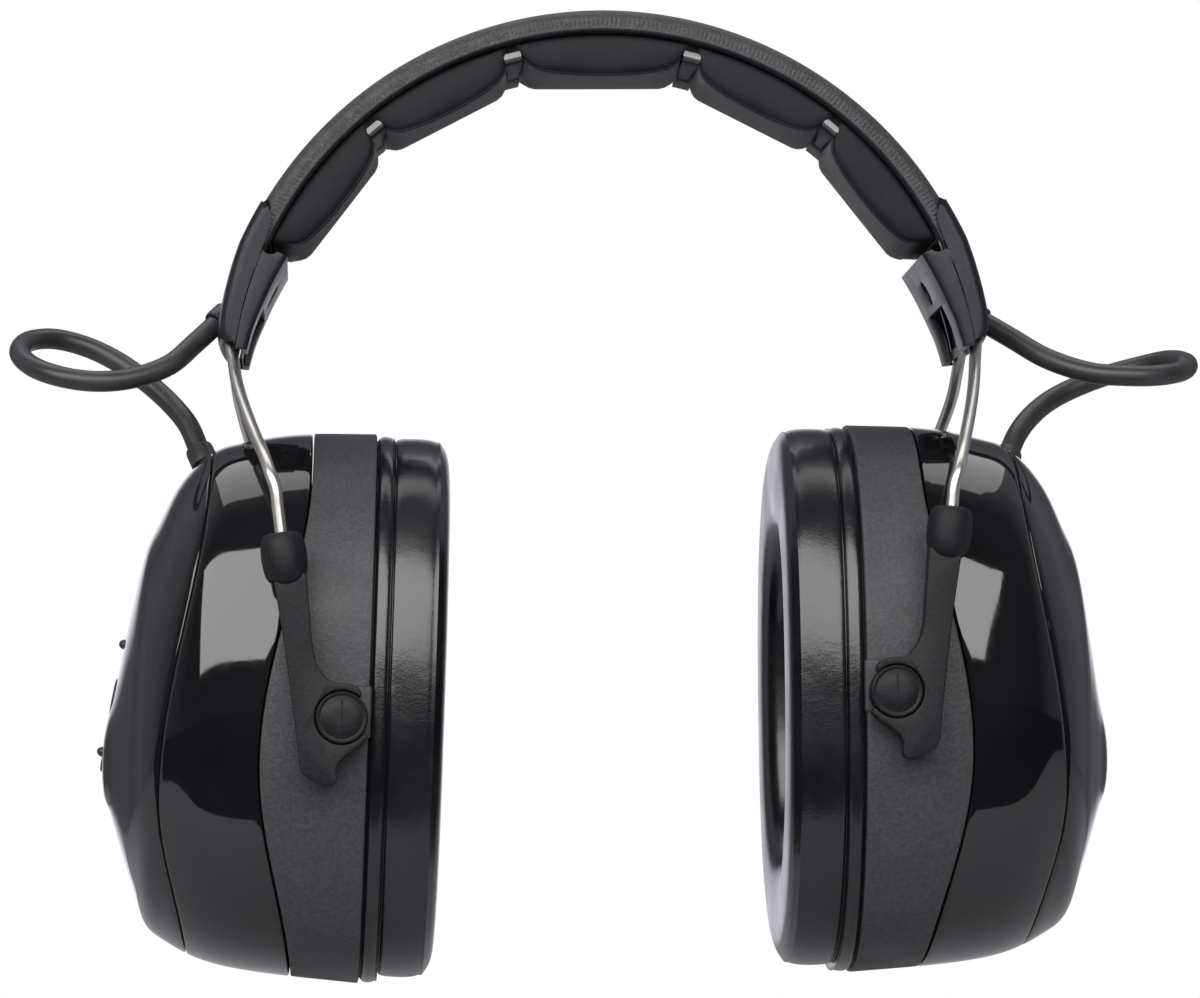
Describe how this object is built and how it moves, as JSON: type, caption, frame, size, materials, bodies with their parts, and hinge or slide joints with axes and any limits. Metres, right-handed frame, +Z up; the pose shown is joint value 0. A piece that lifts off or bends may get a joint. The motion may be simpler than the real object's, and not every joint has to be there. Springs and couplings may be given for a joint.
{
  "type": "radio headphones",
  "caption": "Over-ear hearing-protector headphones with a padded spring-wire headband, deep oval ear cups that slide and tilt, cable loops and a built-in radio.",
  "frame": {"origin": "middle of the underside of the crown pad, where the headband rests on the head", "axes": "+Z up, +X to the right-hand cup as seen from the front, -Y to the front"},
  "size_m": [0.2385, 0.1014, 0.1932],
  "materials": {
    "leatherette": "grained black leatherette with edge stitching",
    "pad_fabric": "black coated cloth with fine mesh on the head side",
    "matt_plastic": "fine spark-textured black",
    "gloss_plastic": "polished black",
    "vinyl": "smooth glossy black vinyl",
    "steel": "bright drawn stainless wire",
    "rubber": "satin black rubber",
    "foam": "open-cell dark grey foam",
    "circuit_board": "green solder mask",
    "battery_cell": "plain grey sleeve"
  },
  "bodies": {
    "headband": {"headband_cover": "leatherette", "headband_liner": "pad_fabric", "band_stiffener": "matt_plastic", "crossover_lead": "rubber", "spring_wire_front": "steel", "spring_wire_rear": "steel", "head_pad_1": "pad_fabric", "head_pad_2": "pad_fabric", "head_pad_3": "pad_fabric", "head_pad_4": "pad_fabric", "head_pad_5": "pad_fabric", "end_cap_left": "matt_plastic", "wire_bracket_left": "matt_plastic", "cap_gland_left": "rubber", "cable_left": "rubber", "end_cap_right": "matt_plastic", "wire_bracket_right": "matt_plastic", "cap_gland_right": "rubber", "cable_right": "rubber"},
    "arms_left": {"arm_front_left": "matt_plastic", "arm_rear_left": "matt_plastic"},
    "cup_left": {"ear_cushion_left": "vinyl", "cushion_frame_left": "matt_plastic", "cup_base_left": "matt_plastic", "pivot_stud_front_left": "matt_plastic", "pivot_stud_rear_left": "matt_plastic", "cup_case_left": "gloss_plastic", "cup_cover_left": "gloss_plastic", "ear_foam_left": "foam", "baffle_plate_left": "matt_plastic", "speaker_left": "steel", "baffle_screw_1_left": "steel", "baffle_screw_2_left": "steel", "cup_gland_left": "rubber", "radio_board": "circuit_board", "tuner_module": "steel"},
    "arms_right": {"arm_front_right": "matt_plastic", "arm_rear_right": "matt_plastic"},
    "cup_right": {"ear_cushion_right": "vinyl", "cushion_frame_right": "matt_plastic", "cup_base_right": "matt_plastic", "pivot_stud_front_right": "matt_plastic", "pivot_stud_rear_right": "matt_plastic", "cup_case_right": "gloss_plastic", "ear_foam_right": "foam", "baffle_plate_right": "matt_plastic", "speaker_right": "steel", "baffle_screw_1_right": "steel", "baffle_screw_2_right": "steel", "cup_gland_right": "rubber", "battery_holder": "matt_plastic", "battery_1": "battery_cell", "battery_2": "battery_cell"},
    "battery_lid": {"cup_cover_right": "gloss_plastic"},
    "button_volume_up": {"button_volume_up": "rubber"},
    "button_power": {"button_power": "rubber"},
    "button_volume_down": {"button_volume_down": "rubber"}
  },
  "joints": [
    {"name": "height_slide_left", "type": "slide", "parent": "headband", "child": "arms_left", "axis": [-0.1184, 0, 0.993], "range_m": [-0.0159, 0.0071], "deforming": ["cable_left"]},
    {"name": "cup_pivot_left", "type": "hinge", "parent": "arms_left", "child": "cup_left", "pos_m": [-0.05275, 0, -0.12838], "axis": [0, 1, 0], "range_deg": [-12, 12]},
    {"name": "height_slide_right", "type": "slide", "parent": "headband", "child": "arms_right", "axis": [0.1184, 0, 0.993], "range_m": [-0.0201, 0.0029], "deforming": ["cable_right"]},
    {"name": "cup_pivot_right", "type": "hinge", "parent": "arms_right", "child": "cup_right", "pos_m": [0.05325, 0, -0.12422], "axis": [0, 1, 0], "range_deg": [-12, 12]},
    {"name": "battery_lid_hinge", "type": "hinge", "parent": "cup_right", "child": "battery_lid", "pos_m": [0.08196, 0, -0.17436], "axis": [0, 1, 0], "range_deg": [0, 75]},
    {"name": "button_volume_up_press", "type": "slide", "parent": "cup_left", "child": "button_volume_up", "axis": [0.9803, 0, -0.1977], "range_m": [0, 0.0008], "stiffness_N_per_m": 400},
    {"name": "button_power_press", "type": "slide", "parent": "cup_left", "child": "button_power", "axis": [0.9803, 0, -0.1977], "range_m": [0, 0.0008], "stiffness_N_per_m": 400},
    {"name": "button_volume_down_press", "type": "slide", "parent": "cup_left", "child": "button_volume_down", "axis": [0.9803, 0, -0.1977], "range_m": [0, 0.0008], "stiffness_N_per_m": 400}
  ]
}
